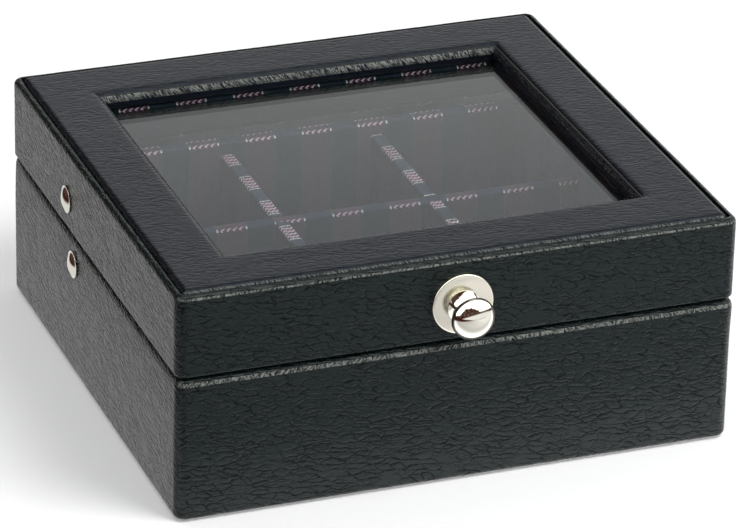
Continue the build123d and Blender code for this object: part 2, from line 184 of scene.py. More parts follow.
white_table, tree = new_material("white_table")
path = add(tree, "LightPath").outputs
seen = calc(tree, "MAXIMUM", path["Is Camera Ray"], path["Is Transmission Ray"])
painted = surface(tree, table_grey, 0.9, {"Specular IOR Level": 0.1})
glow = emission(tree, white, calc(tree, "MULTIPLY", seen, table_glow))
lit = add(tree, "AddShader", {0: painted, 1: glow}).outputs[0]

# Painted reflection: seen only in reflections, the sheet glows darker right in front of the box, lighter
# beyond that and brighter towards the right, and past its left and near ends it is painted dark red.
where = split(tree, place_in(tree))
in_front = ramp(tree, where["Y"], -0.070, -0.078)
close_by = ramp(tree, where["Y"], -0.125, -0.082)
far_out = ramp(tree, where["Y"], -0.130, -0.175)
before_box = calc(tree, "MULTIPLY_ADD", close_by, 1.10, -0.27)
before_box = calc(tree, "MULTIPLY_ADD", far_out, 0.12, before_box)
sheet = calc(tree, "MULTIPLY_ADD", in_front, before_box, 0.93)
sheet = calc(tree, "MULTIPLY", sheet, span(tree, where["X"], -0.10, 0.16, 0.88, 1.38))
on_sheet = all_of(tree, ramp(tree, where["X"], -0.24, -0.15), ramp(tree, where["Y"], -1.8, -1.4))
sheet = calc(tree, "MULTIPLY_ADD", calc(tree, "SUBTRACT", sheet, 1.0), on_sheet, 1.0)
in_mirror = emission(tree, blend(tree, on_sheet, reflected_dark_red, warm_sheet), sheet)
finish_surface(tree, mix(tree, path["Is Glossy Ray"], lit, in_mirror))
table.data.materials.append(white_table)

room = bpy.data.worlds.new("room")
bpy.context.scene.world = room
room.use_nodes = True
tree = room.node_tree
tree.nodes.clear()
towards = place_in(tree, "Generated")
right, back, up = split(tree, towards)
clutter = noise_over(tree, towards, 7.0, 3.0)
pale = blend(tree, span(tree, up, 0.360, 0.440, 0.0, 1.0), white, grey_ceiling)

# A painted reflection of the lamp, with a curved and uneven lower edge, hangs high on the camera's side.
# The sheet sweeps up behind the camera.
off_hood = calc(tree, "ADD", right, 0.25)
off_hood = calc(tree, "MAXIMUM", off_hood, calc(tree, "MULTIPLY", off_hood, -1.45))
hood_edge = calc(tree, "MULTIPLY_ADD", calc(tree, "POWER", off_hood, 2.0), -0.6, 0.80)
above_hood = calc(tree, "SUBTRACT", up, hood_edge)
above_hood = calc(tree, "MULTIPLY_ADD", calc(tree, "SUBTRACT", clutter, 0.5), 0.35, above_hood)
above_sweep = calc(tree, "MULTIPLY_ADD", back, 0.53, up)
above_sweep = calc(tree, "MULTIPLY_ADD", right, -0.185, above_sweep)
camera_side = ramp(tree, back, 0.35, 0.15)
behind_camera = all_of(tree, ramp(tree, above_sweep, -0.20, -0.14), camera_side)
soft_box = all_of(
    tree, ramp(tree, above_hood, -0.05, 0.05), ramp(tree, above_sweep, -0.05, 0.02), camera_side,
)
past_middle = calc(tree, "MULTIPLY_ADD", back, -0.04, right)
far_left = all_of(
    tree, ramp(tree, up, -0.06, -0.02), ramp(tree, up, 0.86, 0.78),
    ramp(tree, past_middle, 0.05, -0.05), ramp(tree, back, -0.45, -0.25),
)
reflected_dark_room = blend(tree, ramp(tree, clutter, 0.40, 0.68), brown_shadow, brown_wall)
mirrored = blend(tree, calc(tree, "MAXIMUM", behind_camera, far_left), pale, reflected_dark_room)
mirrored = blend(tree, soft_box, mirrored, painted_lamp_reflection)
path = add(tree, "LightPath").outputs
through_glass = calc(tree, "MULTIPLY", path["Is Transmission Ray"], ramp(tree, up, 0.33, 0.27))
seen = calc(tree, "MAXIMUM", path["Is Camera Ray"], through_glass)
in_mirror = calc(tree, "MAXIMUM", path["Is Glossy Ray"], path["Is Transmission Ray"])
shown = blend(tree, seen, blend(tree, in_mirror, pale_wall, mirrored), white)
add(tree, "OutputWorld", {
    "Surface": add(tree, "Background", {"Color": shown, "Strength": 1.0}).outputs[0],
})

# Each lamp: its place, its width and height, and its power in watts. None shows in the metal.
lamps = {
    "front_soft_lamp": ((0.40, -0.52, 1.02), (0.55, 0.45), 9.0),
    "back_soft_lamp": ((-0.35, 0.75, 1.1), (0.6, 0.4), 3.0),
    "low_soft_lamp": ((0.70, -0.75, 0.25), (0.40, 0.30), 3.0),
}
lamp_aim = Vector((0, 0, 0.03))
for name, (place, size, power) in lamps.items():
    lamp = bpy.data.objects.new(name, bpy.data.lights.new(name, "AREA"))
    bpy.context.scene.collection.objects.link(lamp)
    lamp.data.shape = "RECTANGLE"
    lamp.data.size, lamp.data.size_y = size
    lamp.data.energy = power
    lamp.location = place
    lamp.rotation_euler = (lamp_aim - Vector(place)).to_track_quat("-Z", "Y").to_euler()
    lamp.visible_glossy = False


# Case cover: black leatherette over the four walls of the lower case, glued, rolled over the rim and
# turned under the bottom. Its grain runs round the box and its edges show fine pulled creases.

case_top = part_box("base_leather_cover")[1]
case_half = (case_top.x, case_top.y)


def round_the_walls(tree):
    """Place on the skin of the walls in mm: along them from the middle of the front, and up them and
    inward over the rim."""
    x, y, z = (calc(tree, "MULTIPLY", part, 1000) for part in split(tree, place_in(tree)))
    half_x, half_y = case_half[0] * 1000, case_half[1] * 1000
    far_x = calc(tree, "ABSOLUTE", x)
    at_back = calc(tree, "GREATER_THAN", y, 0.0)
    past_corner = calc(tree, "MULTIPLY", at_back, calc(tree, "MULTIPLY_ADD", far_x, -2.0, 2 * half_x))
    from_middle = calc(tree, "ADD", calc(tree, "ADD", far_x, past_corner), calc(tree, "ADD", y, half_y))
    along = calc(tree, "MULTIPLY", calc(tree, "SIGN", x), from_middle)
    from_side = calc(tree, "SUBTRACT", half_x, far_x)
    from_front = calc(tree, "SUBTRACT", half_y, calc(tree, "ABSOLUTE", y))
    return along, calc(tree, "ADD", z, calc(tree, "MINIMUM", from_side, from_front))


def over_the_top(tree):
    """Place on the skin of the top panel in mm, from left to right and from front to back."""
    where = place_in(tree)
    along = vector(tree, "DOT_PRODUCT", where, (1000, 0, 900))
    return along, vector(tree, "DOT_PRODUCT", where, (0, 1000, 600))


def leather_bump(tree, along, across, curl, streaks):
    """Height of the grain, how much the place stands on a cell, and the slanting marks of pulled skin.
    curl is 1 where the skin is pulled over an edge; streaks is the share of fine streaks over cells."""
    flat = combine(tree, along, across)

    def turned(where, degrees):
        inputs = {"Vector": where, "Angle": math.radians(degrees)}
        return add(tree, "VectorRotate", inputs, rotation_type="Z_AXIS").outputs[0]

    def measured(where, size, offset):
        return vector(tree, "MULTIPLY_ADD", where, (1 / size[0], 1 / size[1], 1), offset)

    def noise_at(size, offset, detail=2.0, turn=0):
        where = measured(turned(flat, turn) if turn else flat, size, offset)
        inputs = {"Vector": where, "Scale": 1.0, "Detail": detail}
        return add(tree, "TexNoise", inputs, noise_dimensions="2D").outputs

    def creases(size, offset, warp, turn, width, upright):
        """Fine creases between plump cells: 1 in the crease, 0 on the cell, and the same with wide
        slopes. They are equally wide all round, and fainter where they run upright."""
        swirl = noise_at((warp * 3.2, warp * 2.2), offset)["Color"]
        push = vector(tree, "SUBTRACT", swirl, (0.5, 0.5, 0.5))
        pushed = vector(tree, "MULTIPLY_ADD", push, (warp * 2, warp * 1.5, 0), flat)
        inputs = {"Vector": measured(turned(pushed, turn), size, offset), "Scale": 1.0}
        nearest, second = (
            add(tree, "TexVoronoi", inputs, voronoi_dimensions="2D", feature=feature).outputs
            for feature in ("F1", "F2")
        )
        apart = vector(tree, "SUBTRACT", second["Position"], nearest["Position"])
        apart = vector(tree, "MULTIPLY", apart, (1 / size[0], 1 / size[1], 0))
        steep = vector(tree, "LENGTH", apart)
        squares = (calc(tree, "POWER", cell["Distance"], 2.0) for cell in (second, nearest))
        excess = calc(tree, "SUBTRACT", *squares)
        from_edge = calc(tree, "DIVIDE", excess, calc(tree, "MULTIPLY", steep, 2.0))
        level = calc(tree, "DIVIDE", calc(tree, "ABSOLUTE", split(tree, apart)["Y"]), steep)
        depth = span(tree, level, 0.35, 0.85, upright, 1.0)
        return [all_of(tree, ramp(tree, from_edge, reach, 0.0), depth) for reach in (width, 3.2 * width)]

    def patchy(crease, size, offset, low, high):
        strength = ramp(tree, noise_at(size, offset)[0], low, high)
        return [calc(tree, "MULTIPLY", part, strength) for part in crease]

    large, large_slope = patchy(
        creases((4.8, 1.7), (3, 7, 0), 1.5, 9, 0.34, 0.40), (8, 6), (1, 2, 0), 0.22, 0.50,
    )
    small, small_slope = patchy(
        creases((2.5, 1.1), (9, 4, 0), 1.0, 4, 0.26, 0.30), (6, 5), (5, 8, 0), 0.34, 0.58,
    )
    cross, _ = patchy(
        creases((4.6, 1.7), (5, 1, 0), 0.9, -34, 0.20, 1.0), (7, 7), (3, 3, 0), 0.50, 0.68,
    )
    swell = noise_at((3.0, 1.4), (2, 6, 0), turn=8)[0]
    pebble = noise_at((0.8, 0.6), (4, 1, 0))[0]
    streak = noise_at((3.4, 0.55), (6, 2, 0))[0]
    pulled_left = noise_at((0.40, 2.6), (8, 3, 0), 1.0, 24)[0]
    pulled_right = noise_at((0.40, 2.6), (2, 9, 0), 1.0, -24)[0]

    cell_share = 1 - 0.6 * streaks
    grain = 0.0
    for part, weight in (
        (large, -0.22 * cell_share), (large_slope, -0.19 * cell_share),
        (small, -0.13 * cell_share), (small_slope, -0.09 * cell_share),
        (cross, 0.07 * cell_share), (swell, 0.30 * cell_share),
        (pebble, 0.08 - 0.03 * streaks), (streak, 0.058 * streaks),
    ):
        grain = calc(tree, "MULTIPLY_ADD", part, weight, grain)
    pulled = calc(tree, "MULTIPLY", calc(tree, "ADD", pulled_left, pulled_right), 0.17)
    hatch = ramp(tree, calc(tree, "MAXIMUM", pulled_left, pulled_right), 0.48, 0.66)
    off_large = calc(tree, "MULTIPLY_ADD", large, -0.8 * cell_share, 1.0)
    off_small = calc(tree, "MULTIPLY_ADD", small, -0.5 * cell_share, 1.0)
    plateau = calc(tree, "MULTIPLY", off_large, off_small)
    return calc(tree, "MULTIPLY_ADD", pulled, curl, grain), plateau, hatch


crease_shade_black = (0.0004, 0.0011, 0.0012, 1)
painted_highlight_grey = (0.17, 0.175, 0.16, 1)
crease_shade_sheen = (0.15, 0.15, 0.15, 1)
painted_shade_sheen = (0.06, 0.06, 0.06, 1)


def leatherette(name, place_on, curl_of, shade_of, highlight_of, gloss, black, sheen, streaks=0.0):
    material, tree = new_material(name)
    normal = split(tree, add(tree, "NewGeometry").outputs["True Normal"])
    along, across = place_on(tree)
    curl = curl_of(tree, normal)
    grain, plateau, hatch = leather_bump(tree, along, across, curl, streaks)
    # Painted shade: the creases are painted near black here and their sheen is weakened below, for the
    # shade that fills them.
    colour = blend(tree, plateau, crease_shade_black, black)
    # Painted highlight: pale strokes along the rims where they catch the light.
    colour = blend(tree, calc(tree, "MULTIPLY", hatch, highlight_of(tree, normal)), colour, painted_highlight_grey)
    mirror = blend(tree, plateau, crease_shade_sheen, sheen)
    # Painted shade: the sheen is dulled where shade_of marks shade.
    mirror = blend(tree, shade_of(tree, normal, across), mirror, painted_shade_sheen)
    rough = span(tree, plateau, 0.0, 1.0, gloss + 0.12, gloss)
    rough = calc(tree, "MULTIPLY_ADD", curl, -0.09, rough)
    bump = relief(tree, grain, 1.0, (0.25 - 0.08 * streaks) * mm)
    skin = {"Normal": bump, "Specular IOR Level": 0.25, "Specular Tint": mirror}
    finish_surface(tree, surface(tree, colour, rough, skin))
    return material


def edge_of_wall(tree, normal):
    """1 on the rolled rims of a wall, 0 on its upright face."""
    return ramp(tree, calc(tree, "ABSOLUTE", normal["Z"]), 0.08, 0.40)


def shade_by_the_gap(tree, normal, height):
    """Painted shade: 1 where the lid's front edge turns under, and part of that on the case's left and
    right walls just below the gap, where the sheen is dulled for the shade there. Heights are in mm."""
    turned_under = all_of(
        tree, ramp(tree, normal["Y"], -0.35, -0.75), ramp(tree, normal["Z"], -0.10, -0.40),
        ramp(tree, height, 38, 40),
    )
    faces_side = ramp(tree, calc(tree, "ABSOLUTE", normal["X"]), 0.6, 0.9)
    on_case = calc(tree, "MAXIMUM", ramp(tree, normal["Z"], 0.02, 0.08), ramp(tree, height, 42.7, 42.5))
    side_shade = all_of(tree, faces_side, ramp(tree, height, 31.0, 42.0), ramp(tree, height, 45.5, 45.0), on_case)
    return calc(tree, "MAXIMUM", turned_under, calc(tree, "MULTIPLY", side_shade, 0.85))


def painted_rim_highlight(tree, normal):
    """Painted highlight: 1 on the band of the front rims that faces the light, painted pale in fine
    strokes, and a quarter of it on the other rims.
    """
    front = calc(tree, "MULTIPLY_ADD", ramp(tree, normal["Y"], -0.3, -0.6), 0.75, 0.25)
    return all_of(tree, ramp(tree, normal["Z"], 0.16, 0.28), ramp(tree, normal["Z"], 0.64, 0.52), front)


wall_leather = leatherette(
    "wall_leatherette", round_the_walls, edge_of_wall, shade_by_the_gap, painted_rim_highlight, 0.23,
    (0.0044, 0.0102, 0.0104, 1), white,
)

case_corner = 3.2 * mm
case_rim = 2.9 * mm
lower_edge = 1.8 * mm
cover_margin = 6 * mm
skin_pitch = 3 * mm
flat_half = (76.5 * mm, 71.5 * mm)
round_steps = 8
tiny = 1e-6
tray_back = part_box("tray_back_wall")[1].y


def cut_along(shape, axis, places, only=None):
    """Cut every face, or only those given, square to one axis at each place."""
    for place in places:
        at, square = Vector((0, 0, 0)), Vector((0, 0, 0))
        at[axis], square[axis] = place, 1
        cut = only() if only else shape.verts[:] + shape.edges[:] + shape.faces[:]
        bmesh.ops.bisect_plane(shape, geom=cut, dist=1e-7, plane_co=at, plane_no=square)


def steps(low, high, pitch):
    count = max(1, round((high - low) / pitch))
    return [low + (high - low) * k / count for k in range(1, count)]


def cut_in_squares(shape, half, low, high, upright_pitch=skin_pitch):
    """Small faces all over the skin, so that it can be pulled out of true."""
    cut_along(shape, 0, steps(-half[0], half[0], skin_pitch))
    cut_along(shape, 1, steps(-half[1], half[1], skin_pitch))
    cut_along(shape, 2, steps(low, high, upright_pitch))


def round_edges(shape, edges, radius, segments):
    bmesh.ops.bevel(
        shape, geom=edges, offset=radius, offset_type="OFFSET", segments=segments,
        profile=0.5, affect="EDGES", material=-1, clamp_overlap=False,
    )
    shape.normal_update()


def flat_faces(shape, direction, height):
    """Faces that look along Z in the given direction at the given height."""
    return [
        f for f in shape.faces
        if f.normal.z * direction > 0.9 and abs(f.calc_center_median().z - height) < tiny
    ]


def loop_between(shape, height):
    """Edges at this height that join an upright face to a level one."""
    return [
        e for e in shape.edges
        if len(e.link_faces) == 2
        and all(abs(v.co.z - height) < tiny for v in e.verts)
        and abs(abs(e.link_faces[0].normal.z) - abs(e.link_faces[1].normal.z)) > 0.5
    ]


def is_upright(edge):
    return abs(edge.verts[0].co.z - edge.verts[1].co.z) > tiny


def solid_block(half, low, high):
    shape = bmesh.new()
    bmesh.ops.create_cube(shape, size=1.0)
    bmesh.ops.scale(shape, verts=shape.verts, vec=(2 * half[0], 2 * half[1], high - low))
    bmesh.ops.translate(shape, verts=shape.verts, vec=(0, 0, (low + high) / 2))
    shape.normal_update()
    return shape


def walls_in_leather(low, high, low_radius, high_radius):
    """Closed box in the outline of the case, with upright corners and both rims rounded."""
    shape = solid_block(case_half, low, high)
    round_edges(shape, [e for e in shape.edges if is_upright(e)], case_corner, round_steps)
    for height, radius in ((low, low_radius), (high, high_radius)):
        round_edges(shape, loop_between(shape, height), radius, round_steps)
    return shape


def open_face(shape, direction, height, x_span, y_span):
    """Cut a square-cornered opening in a level face."""
    def level():
        faces = flat_faces(shape, direction, height)
        return list({v for f in faces for v in f.verts}) + list({e for f in faces for e in f.edges}) + faces

    def is_inside(centre):
        return x_span[0] < centre.x < x_span[1] and y_span[0] < centre.y < y_span[1]

    cut_along(shape, 0, x_span, level)
    cut_along(shape, 1, y_span, level)
    inside = [f for f in flat_faces(shape, direction, height) if is_inside(f.calc_center_median())]
    bmesh.ops.delete(shape, geom=inside, context="FACES")


def pull_by_hand(shape, depth, dimples=()):
    """Uneven pull of glue and fingers: slow swells over the skin, and a dip round each rivet."""
    slow_wave, quick_wave = 21, 8
    quick_start = Vector((9, 3, 5))
    shape.normal_update()
    moves = []
    for vert in shape.verts:
        place = vert.co / mm
        slow = noise.noise(place / slow_wave)
        quick = noise.noise(place / quick_wave + quick_start)
        move = (slow * 0.6 + quick * 0.4) * depth
        for centre, radius, dip in dimples:
            move -= dip * math.exp(-((vert.co - centre).length / radius) ** 2)
        moves.append(vert.normal * move)
    for vert, move in zip(shape.verts, moves):
        vert.co += move


def place_piece(name, shape, material, body, node):
    """Turn a shape into a smooth-shaded piece that rides on a body and stands for a node."""
    for face in shape.faces:
        face.smooth = True
    mesh = bpy.data.meshes.new(name)
    shape.to_mesh(mesh)
    shape.free()
    piece = link(name, mesh)
    piece.data.materials.append(material)
    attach(piece, body)
    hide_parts(node)
    return piece


def make_skin(name, shape, thickness, material, body, node):
    piece = place_piece(name, shape, material, body, node)
    wall = piece.modifiers.new("thickness", "SOLIDIFY")
    wall.thickness = thickness
    wall.offset = -1
    even = piece.modifiers.new("even_shading", "WEIGHTED_NORMAL")
    even.keep_sharp = False
    even.weight = 60


def middle(node):
    low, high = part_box(node)
    return (low + high) / 2


dip_radius, dip_depth = 6.5 * mm, 0.28 * mm
rivet_dips = [
    (Vector((side * case_half[0], middle(node).y, middle(node).z)), dip_radius, dip_depth)
    for node in ("base_stay_rivets", "lid_stay_rivets") for side in (-1, 1)
]

inside_x = (cover_margin - case_half[0], case_half[0] - cover_margin)
inside_y = (cover_margin - case_half[1], case_half[1] - cover_margin)
sheet_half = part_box("underside_sheet")[1]
shape = walls_in_leather(0, case_top.z, lower_edge, case_rim)
open_face(shape, 1, case_top.z, inside_x, (inside_y[0], tray_back))
open_face(shape, -1, 0, (-sheet_half.x, sheet_half.x), (-sheet_half.y, sheet_half.y))
cut_in_squares(shape, flat_half, lower_edge, case_top.z - case_rim)
pull_by_hand(shape, 0.10 * mm, rivet_dips)

# The rim is folded tighter towards the two back corners, where the board under it is square.
fold_start, fold_length, fold_share = 55 * mm, 12 * mm, 0.7
for vert in shape.verts:
    rise = (vert.co.z - case_top.z + case_rim) / case_rim
    if rise > 0 and vert.co.y > fold_start:
        corner_x = math.copysign(case_half[0] - case_corner, vert.co.x)
        out = Vector((vert.co.x - corner_x, vert.co.y - case_half[1] + case_corner, 0))
        if abs(vert.co.x) > case_half[0] - 3.3 * mm and out.length > 0.1 * mm:
            out.y = max(out.y, 0)
            share = min(1, (vert.co.y - fold_start) / fold_length)
            inset = case_rim * (1 - math.sqrt(max(0, 1 - min(rise, 1) ** 2)))
            vert.co += out.normalized() * inset * fold_share * share

# The walls lean to the right a little under the lid.
lean_start, lean = 30 * mm, 0.3 * mm
for vert in shape.verts:
    vert.co.x += lean * max(0, min(1, (vert.co.z - lean_start) / (case_top.z - lean_start)))
make_skin("case_leather", shape, 0.75 * mm, wall_leather, "base", "base_leather_cover")


# Lid cover: the same leatherette over the lid's four walls. It rolls over the thin rim and down into
# the groove round the top panel, and is turned in along the lower edge.

lid_low, lid_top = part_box("lid_leather_cover")
panel_low, panel_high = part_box("top_panel_leather")
lid_rim = 1.5 * mm
rim_flat = 0.4 * mm
lid_edge = 1.1 * mm
groove_foot = panel_low.z + 0.1 * mm
recess_area = 0.01


def hang_down(shape, edges, drop):
    """Hang a skirt of skin from a loop of edges."""
    skirt = bmesh.ops.extrude_edge_only(shape, edges=edges)
    hem = [v for v in skirt["geom"] if isinstance(v, bmesh.types.BMVert)]
    bmesh.ops.translate(shape, verts=hem, vec=(0, 0, -drop))
    bmesh.ops.recalc_face_normals(shape, faces=shape.faces)


shape = walls_in_leather(lid_low.z, lid_top.z, lid_edge, lid_rim)
open_face(shape, -1, lid_low.z, inside_x, inside_y)
rim = flat_faces(shape, 1, lid_top.z)
bmesh.ops.inset_region(shape, faces=rim, thickness=rim_flat, use_even_offset=True)
inner = [f for f in flat_faces(shape, 1, lid_top.z) if f.calc_area() > recess_area]
inner_loop = [e for f in inner for e in f.edges]
bmesh.ops.delete(shape, geom=inner, context="FACES_ONLY")
hang_down(shape, inner_loop, lid_top.z - groove_foot)
cut_in_squares(shape, flat_half, lid_low.z + lid_edge, lid_top.z - lid_rim)
pull_by_hand(shape, 0.09 * mm, rivet_dips)
make_skin("lid_leather", shape, 0.6 * mm, wall_leather, "lid", "lid_leather_cover")


# Panel cover: a separate piece of leatherette wrapped over the raised frame in the top of the lid, with
# its corners rounded and its inner edge turned down into the window.

def edge_of_panel(tree, normal):
    """1 where the skin rolls over an edge of the panel, 0 on its level top and upright faces."""
    return all_of(tree, ramp(tree, normal["Z"], 0.97, 0.80), ramp(tree, normal["Z"], 0.05, 0.25))


def upright_side(tree, normal, place):
    """Most of the upright sides of the panel stay in the dark of the groove and of the window."""
    return calc(tree, "MULTIPLY", ramp(tree, calc(tree, "ABSOLUTE", normal["Z"]), 0.30, 0.10), 0.85)


def painted_panel_edge_highlight(tree, normal):
    """Painted highlight: 1 on the rounded edges that face the front, painted pale in fine strokes, and a
    little on the others.
    """
    front = calc(tree, "MULTIPLY_ADD", ramp(tree, normal["Y"], -0.3, -0.5), 0.85, 0.15)
    return all_of(tree, ramp(tree, normal["Z"], 0.05, 0.18), ramp(tree, normal["Z"], 0.80, 0.62), front)


# Painted shade and painted reflection: the panel's leather gets a bluer black and a sheen dimmed and tinted
# blue, for the darker, bluer look of the lid's top.
panel_leather = leatherette(
    "panel_leatherette", over_the_top, edge_of_panel, upright_side, painted_panel_edge_highlight, 0.28,
    (0.0044, 0.0062, 0.0100, 1), (0.55, 0.61, 0.71, 1), streaks=0.7,
)
panel_half = (panel_high.x, panel_high.y)
window_half = (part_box("lining_frame_right_rail")[0].x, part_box("lining_frame_back_rail")[0].y)
panel_top, panel_foot = panel_high.z, panel_low.z + 0.05 * mm
panel_corner = 1.7 * mm
panel_roll = 1.8 * mm
window_roll = 2.8 * mm


def is_outer(vert):
    return max(abs(vert.co.x) / panel_half[0], abs(vert.co.y) / panel_half[1]) > 0.9


shape = solid_block(panel_half, panel_foot, panel_top)
open_face(shape, 1, panel_top, (-window_half[0], window_half[0]), (-window_half[1], window_half[1]))
bmesh.ops.delete(shape, geom=flat_faces(shape, -1, panel_foot), context="FACES_ONLY")
window_loop = [
    e for e in shape.edges
    if len(e.link_faces) == 1 and all(abs(v.co.z - panel_top) < tiny for v in e.verts)
]
hang_down(shape, window_loop, panel_top - panel_foot)
shape.normal_update()
outer_upright = [e for e in shape.edges if is_upright(e) and abs(e.verts[0].co.x) > window_half[0] + mm]
round_edges(shape, outer_upright, panel_corner, 5)
round_edges(shape, [e for e in loop_between(shape, panel_top) if is_outer(e.verts[0])], panel_roll, 7)
round_edges(shape, loop_between(shape, panel_top), window_roll, 6)
cut_in_squares(shape, (76 * mm, 71 * mm), panel_foot, panel_top - panel_roll, 1.6 * mm)
pull_by_hand(shape, 0.08 * mm)
make_skin("panel_leather", shape, 0.65 * mm, panel_leather, "lid", "top_panel_leather")


# Window pane: clear glass about 2 mm thick, laid in from below against the top panel's rails and held
# up by the lining frame. Light from the lamps passes it with little loss.

clear_glass, tree = new_material("window_glass")
pane = surface(tree, (0.93, 0.97, 0.95, 1), 0.0, {"IOR": 1.5, "Transmission Weight": 1.0})
passing = add(tree, "BsdfTransparent", {"Color": (0.86, 0.90, 0.88, 1)}).outputs[0]
shadow = add(tree, "LightPath").outputs["Is Shadow Ray"]
finish_surface(tree, mix(tree, shadow, pane, passing))


def dress(names, material):
    for name in names:
        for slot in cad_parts[name].material_slots:
            slot.material = material


dress(["glass_pane"], clear_glass)


# Lining cloth: a striped satin, bands of mauve-brown with zigzag threads between two dotted lines and
# bands of plain teal, glued over every board inside. Where a board's top or upper edge catches the light
# its zigzag and dotted threads get a painted glint, pale in colour; elsewhere they sink into the ground.
# The tops are painted a bluer teal for their sheen, and the lining frame's cloth is darkened for shade.

stripe_pitch = 17.15
brown_band = 8.6
zigzag_reach = 3.65
column_pitch = 1.8
upright_teal = (0.0072, 0.0140, 0.0175, 1)
top_sheen_teal = (0.0060, 0.0115, 0.0235, 1)
mauve_brown = (0.0270, 0.0165, 0.0240, 1)
border_grey = (0.040, 0.044, 0.042, 1)
lining_shade = (0.001, 0.001, 0.001, 1)
glint_mauve = (0.42, 0.27, 0.37)
glint_pale = (0.52, 0.54, 0.50)


def striped_satin(node, side, middle_band, glint_at):
    """Cloth of one board. side is the axis that the stripes follow one another along, middle_band the
    place of a brown band, and the last argument says where the threads get a painted glint, pale in colour:
    on "both" upper edges of the board, on the "front" one, "all" over its top, or nowhere."""
    material, tree = new_material(f"{node}_cloth")
    low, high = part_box(node)
    in_lining = node.startswith("lining")
    along_x = side == "X"
    other = "Y" if along_x else "X"
    first, last, top = low["XYZ".index(other)] / mm, high["XYZ".index(other)] / mm, high.z / mm
    place = vector(tree, "MULTIPLY", place_in(tree), (1000, 1000, 1000))
    parts = split(tree, place)
    across = calc(tree, "SUBTRACT", parts[side], middle_band)
    inward = calc(tree, "SUBTRACT", parts[other], first)
    below = calc(tree, "SUBTRACT", parts["Z"], top)
    at_far_edge = calc(tree, "GREATER_THAN", inward, (last - first) / 2)
    thread = calc(tree, "MULTIPLY_ADD", at_far_edge, 0.75 - last + first, inward)
    thread = calc(tree, "ADD", thread, calc(tree, "ADD", below, 0.45))

    def under(value, limit, soft):
        return ramp(tree, value, limit + soft, limit - soft)

    def wrapped(value, half):
        return calc(tree, "WRAP", value, half, -half)

    def off(value, centre):
        return calc(tree, "ABSOLUTE", calc(tree, "SUBTRACT", value, centre))

    ragged = noise_over(tree, place, 1.7, 2.0)
    off_stripe = wrapped(across, stripe_pitch / 2)
    off_stripe = calc(tree, "MULTIPLY_ADD", calc(tree, "SUBTRACT", ragged, 0.5), 0.20, off_stripe)
    off_middle = calc(tree, "ABSOLUTE", off_stripe)
    in_brown = under(off_middle, brown_band / 2, 0.06)
    zigzag = calc(tree, "MULTIPLY_ADD", calc(tree, "PINGPONG", thread, 0.95), 1.15, -0.55)
    column = wrapped(calc(tree, "SUBTRACT", off_stripe, column_pitch / 2), column_pitch / 2)
    zigzags = all_of(tree, under(off(column, zigzag), 0.30, 0.10), under(off_middle, zigzag_reach, 0.05))
    border = under(off(off_middle, brown_band / 2), 0.22, 0.08)
    dots = under(calc(tree, "PINGPONG", calc(tree, "ADD", thread, -0.1), 0.42), 0.30, 0.08)
    dotted = all_of(tree, border, dots)

    on_top = ramp(tree, below, -0.6, -0.3)
    # Painted sheen: the tops of the boards are painted a bluer teal than their upright faces.
    ground = blend(tree, in_brown, blend(tree, on_top, upright_teal, top_sheen_teal), mauve_brown)
    ground = blend(tree, calc(tree, "MULTIPLY", border, 0.5), ground, border_grey)
    # Painted shade: the lining frame lies in the shade of the window's rebate, so its cloth is darkened.
    if in_lining:
        ground = blend(tree, 0.6, ground, lining_shade)
    fleck = span(tree, ragged, 0.0, 1.0, 0.7, 1.3)
    ground = add(tree, "MixRGB", {0: 1.0, 1: ground, 2: fleck}, blend_type="MULTIPLY").outputs[0]
    weft_place = combine(tree, calc(tree, "MULTIPLY_ADD", across, 0.6, thread))
    weft = add(
        tree, "TexWave", {"Vector": weft_place, "Scale": 0.9, "Distortion": 0.6},
        wave_type="BANDS", bands_direction="X",
    ).outputs["Fac"]
    height = calc(tree, "MULTIPLY_ADD", weft, 0.25, calc(tree, "MAXIMUM", zigzags, dotted))
    bump = relief(tree, height, 0.6, 0.06 * mm)
    tangent = combine(tree, *((1.0, 0.02, 0.02) if along_x else (0.02, 1.0, 0.02)))

    def yarn(colour, rough, gloss):
        return surface(tree, colour, rough, {
            "Normal": bump, "Tangent": tangent, "Anisotropic": 0.85, "Specular IOR Level": gloss,
        })

    woven = yarn(ground, 0.60, 0.06)
    if glint_at:
        catching = on_top
        if glint_at != "all":
            catching = ramp(tree, off(inward, 0.1), 0.50, 0.30)
            if glint_at == "both":
                far_edge = ramp(tree, off(inward, last - first - 0.65), 0.50, 0.30)
                catching = calc(tree, "MAXIMUM", catching, far_edge)
            catching = all_of(tree, catching, ramp(tree, below, -0.95, -0.75))
        # Painted glint: the zigzag and dotted threads are painted pale only where they catch the light,
        # dimmer on the lining frame in shade.
        glint_strength = 0.55 if in_lining else 0.75 if glint_at == "all" or node == "cross_divider" else 1.0
        glinting_mauve = yarn((*(part * glint_strength for part in glint_mauve), 1), 0.55, 0.6)
        pale = yarn((*(part * glint_strength for part in glint_pale), 1), 0.50, 0.6)
        woven = mix(tree, all_of(tree, zigzags, catching), woven, glinting_mauve)
        woven = mix(tree, all_of(tree, dotted, catching), woven, pale)
    finish_surface(tree, woven)
    return material


cloth_boards = {
    "tray_back_wall": ("X", 4.33, "both"),
    "tray_front_wall": ("X", -3.25, "both"),
    "cross_divider": ("X", -3.25, "front"),
    "tray_left_wall": ("Y", 14.3, "all"),
    "tray_right_wall": ("Y", 4.1, None),
    "left_divider": ("Y", 14.3, "all"),
    "right_divider": ("Y", 4.1, "all"),
    "tray_floor": ("X", 0.5, None),
    "lining_frame_back_rail": ("X", 1.3, "front"),
    "lining_frame_front_rail": ("X", 1.3, None),
    "lining_frame_left_rail": ("Y", 3.6, None),
    "lining_frame_right_rail": ("Y", 3.6, None),
}
for node, (side, middle_band, glint_at) in cloth_boards.items():
    dress([node], striped_satin(node, side, middle_band, glint_at))

